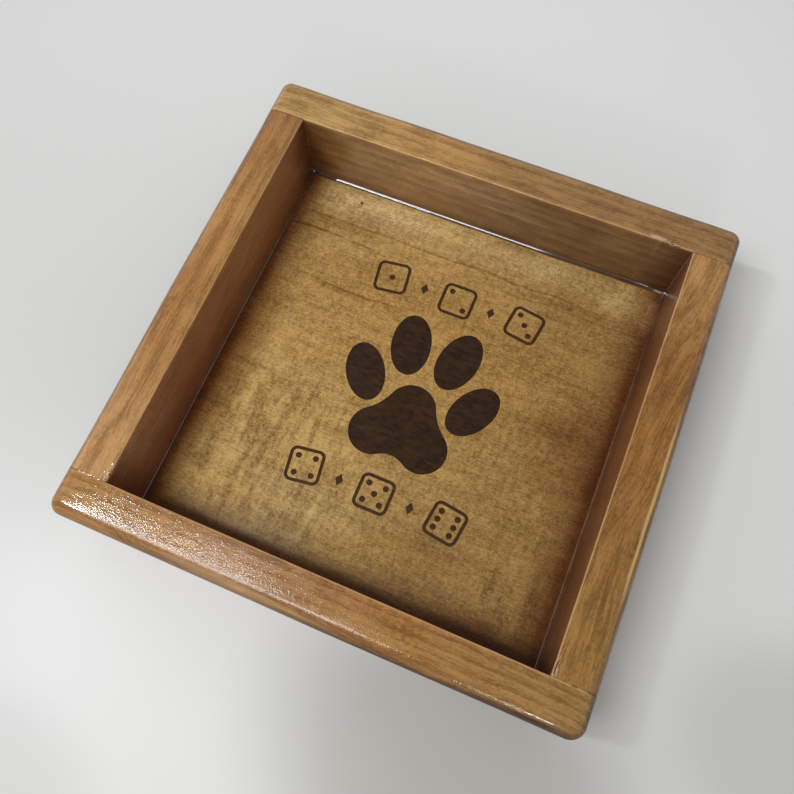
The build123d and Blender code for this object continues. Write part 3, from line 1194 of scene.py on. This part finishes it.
def burnt_wood(s, place, y, char):
    """The engraving's colour."""
    ember = s.span(s.noise(place, (8, 2.6, 9), 12, detail=3), 0.54, 0.7)
    burnt = s.mix(s.span(char, 0.25, 0.75), BURNT_DARK, BURNT_LIGHT)
    burnt = s.paint(burnt, EMBER, ember, 0.45)
    return s.paint(burnt, ROW_BURN, s.span(s.size(y), ROWS_FROM - 2, ROWS_FROM, 0.0, 0.22))


def stained_plywood():
    """The base panel's material."""
    material, s, surface = new_material("plywood_panel")
    place, x, y, z = s.position()
    veneer = veneer_figure(s, place)
    colour = veneer_colour(s, place, x, y, veneer)
    colour = veneer_stain_shade_and_sheen(s, place, x, y, colour)
    colour = margin_stain_and_shade(s, x, y, veneer, colour)
    char = s.noise(place, (4, 1.8, 3), 2, detail=3, roughness=0.6)
    deep = s.span(z, PANEL_TOP - BURNT_FULLY, PANEL_TOP - BURNT_FROM, 1.0, 0.0)
    colour = s.mix(deep, colour, burnt_wood(s, place, y, char))

    skin = s.bump(s.noise(place, (4, 2.4, 3), 8), SAG_DEPTH)
    skin = s.bump(veneer.weave, VENEER_DEPTH, skin)
    skin = s.bump(veneer.fibre, VENEER_DEPTH, skin)
    skin = s.bump(s.times(char, deep), CHAR_DEPTH, skin)
    s.feed(surface["Base Color"], colour)
    s.feed(surface["Roughness"], s.span(veneer.cloud, 0.3, 0.7, *VENEER_ROUGHNESS))
    s.feed(surface["Normal"], skin)
    surface["IOR"].default_value = VARNISH_IOR
    return material


# Small pieces: filler, nail wire and pooled varnish


def mottled(name, sizes, light, dark, roughness, depth):
    """A material mottled between two colours, and its shader's sockets."""
    material, s, surface = new_material(name)
    place, _, _, _ = s.position()
    grain = s.noise(place, sizes, detail=3)
    s.feed(surface["Base Color"], s.mix(s.span(grain, 0.3, 0.7), light, dark))
    s.feed(surface["Roughness"], s.span(grain, 0.3, 0.7, *roughness))
    s.feed(surface["Normal"], s.bump(grain, depth))
    return material, surface


def wood_filler():
    tones = srgb(128, 88, 50), srgb(88, 56, 30)
    material, _ = mottled("filler_plug", (0.8, 0.5, 0.8), *tones, (0.3, 0.5), 0.02)
    return material


def nail_wire():
    tones = srgb(172, 170, 164), srgb(116, 112, 106)
    material, surface = mottled("nail_wire", (0.3, 0.3, 0.3), *tones, (0.28, 0.5), 0.01)
    surface["Metallic"].default_value = 1.0
    return material


def pooled_varnish():
    """Thick enough to need a second layer of gloss."""
    tones = srgb(104, 72, 46), srgb(70, 46, 30)
    material, surface = mottled("pooled_varnish", (7, 7, 3), *tones, (0.05, 0.14), 0.02)
    surface["IOR"].default_value = VARNISH_IOR
    surface["Coat Weight"].default_value = 1.0
    surface["Coat Roughness"].default_value = 0.05
    surface["Coat IOR"].default_value = 1.6
    return material


dress([nodes["base_panel"]], stained_plywood())
dress(plugs, wood_filler())
dress([nodes[name] for name in nodes if name.startswith(("brad_", "pin_"))], nail_wire())
dress(varnish, pooled_varnish())


# Floor

FLOOR_REACH = 2500
FLOOR_ROUGHNESS = 0.36
# A painted gradient of shade: the floor's colour near the front and far off
NEAR_FLOOR = srgb(208, 207, 204)
FAR_FLOOR = srgb(246, 245, 243)

# Painted shadows, where the floor is dimmer: (x, y), (reach in x, reach in y), tint
FLOOR_SHADOWS = [
    ((70, -138), (104, 80), (0.68, 0.66, 0.63)),
    ((200, -80), (74, 62), (0.80, 0.80, 0.78)),
    ((-95, -215), (62, 48), (0.88, 0.88, 0.88)),
]


def pale_table():
    """Plain and pale, with painted shade: a little darker in front than far off, and painted
    shadows in places.
    """
    material, s, surface = new_material("pale_table")
    place, x, y, _ = s.position()
    cloud = s.noise(place, (160, 160, 160))
    fine = s.noise(place, (1.5, 1.5, 1.5))
    far = s.plus(y, s.times(x, 0.5))
    far = s.plus(s.span(far, -260, 320), s.total((cloud, 0.1)))
    # Painted shade: darker in front than far off
    colour = s.mix(far, NEAR_FLOOR, FAR_FLOOR)
    for centre, size, tint in FLOOR_SHADOWS:
        # Painted shadows
        painted_shadow = s.patch(place, (*centre, 0.0), (*size, PATCH_REACH), ragged=0.0)
        colour = s.stain_shade_and_sheen(colour, tint, painted_shadow)
    s.feed(surface["Base Color"], colour)
    s.feed(surface["Normal"], s.bump(fine, 0.02))
    surface["Roughness"].default_value = FLOOR_ROUGHNESS
    return material


def make_floor():
    corners = [(-1, -1), (1, -1), (1, 1), (-1, 1)]
    points = [(x * FLOOR_REACH, y * FLOOR_REACH, 0) for x, y in corners]
    floor = add_object("floor", points, [(0, 1, 2, 3)])
    dress([floor], pale_table())


make_floor()


# Light: soft lamps at the front left, a weak one at the front right and a room dim overhead

NEUTRAL = (1.0, 1.0, 1.0)
COOL = (0.90, 0.96, 1.0)

# Each lamp's place and size in metres, turn and tilt back in radians, watts and colour
LAMPS = {
    "soft_panel": ((-0.30, -0.43, 1.0), (0.58, 0.30), 0.1, 0.0, 4.6, NEUTRAL),
    "left_strip": ((-0.38, -0.222, 1.0), (0.30, 0.03), 0.25, 0.0, 1.3, COOL),
    "right_strip": ((-0.14, -0.35, 1.0), (0.19, 0.03), 0.0, 0.0, 0.5, COOL),
    "small_lamp": ((-0.60, -0.234, 1.0), (0.14, 0.055), 0.1, 0.0, 2.3, COOL),
    "low_lamp": ((0.24, -0.93, 0.60), (0.12, 0.06), 0.0, 1.0, 0.7, NEUTRAL),
}

# The room's level low down and overhead, and the sines of the angles it fades between
ROOM_LEVEL = 0.70
ROOM_OVERHEAD = 0.15
ROOM_DIMS = (0.35, 0.95)

# The share of it at the horizon, and the sine of the angle where it is whole again
HORIZON = 0.3
HORIZON_REACH = 0.3

# Which way and how far the room is brighter, and what the camera sees past the floor
ROOM_LEAN = (-0.18, 0.30, 0.0)
BACKDROP = 0.80


def light_lamps():
    for name, (place, size, turn, tilt, watts, colour) in LAMPS.items():
        data = bpy.data.lights.new(name, "AREA")
        data.shape = "RECTANGLE"
        data.size, data.size_y = size
        data.energy = watts
        data.color = colour
        lamp = bpy.data.objects.new(name, data)
        lamp.location = place
        lamp.rotation_euler = (tilt, 0.0, turn)
        bpy.context.scene.collection.objects.link(lamp)


def light_room():
    world = bpy.data.worlds.new("room")
    world.use_nodes = True
    s = Nodes(world.node_tree)
    way = s.node("TexCoord", {}).outputs["Generated"]
    height = s.node("SeparateXYZ", {0: way}).outputs[2]
    level = s.span(height, *ROOM_DIMS, ROOM_LEVEL, ROOM_OVERHEAD)
    level = s.times(level, s.span(height, 0.0, HORIZON_REACH, HORIZON, 1.0))
    lean = s.node("VectorMath", {0: way, 1: ROOM_LEAN}, operation="DOT_PRODUCT").outputs["Value"]
    level = s.times(level, s.plus(lean, 1.0))
    seen = s.node("LightPath", {}).outputs["Is Camera Ray"]
    level = s.mix(seen, level, (BACKDROP, BACKDROP, BACKDROP, 1.0))
    s.feed(world.node_tree.nodes["Background"].inputs["Color"], level)
    bpy.context.scene.world = world
    bpy.context.scene.view_settings.view_transform = "Standard"


light_lamps()
light_room()


# Camera, at the photograph's viewing angle

PHOTO_PIXELS = 794
FOCAL_PIXELS = 757.46
SENSOR_MM = 36.0
CLIP_START = 0.01

# Its turns about x, y and z, and where it sees the middle of the rim, in tray widths
CAMERA_TURN = (-0.318631, -0.026143, -0.397811)
CAMERA_OFFSET = (0.026626, 0.064325, -1.403621)


def make_camera():
    """A pinhole camera that sees the tray as the photograph does."""
    turns = [Matrix.Rotation(turn, 3, axis) for turn, axis in zip(CAMERA_TURN, "XYZ")]
    back = (turns[0] @ turns[1] @ turns[2]).transposed()
    rim_middle = Vector((0, 0, RAIL_HEIGHT * MM))
    place = rim_middle - back @ Vector(CAMERA_OFFSET) * 2 * HALF * MM
    data = bpy.data.cameras.new("camera")
    data.sensor_width = SENSOR_MM
    data.lens = FOCAL_PIXELS / PHOTO_PIXELS * SENSOR_MM
    data.clip_start = CLIP_START
    camera = bpy.data.objects.new("camera", data)
    camera.matrix_world = Matrix.Translation(place) @ back.to_4x4()
    bpy.context.scene.collection.objects.link(camera)
    bpy.context.scene.camera = camera


make_camera()
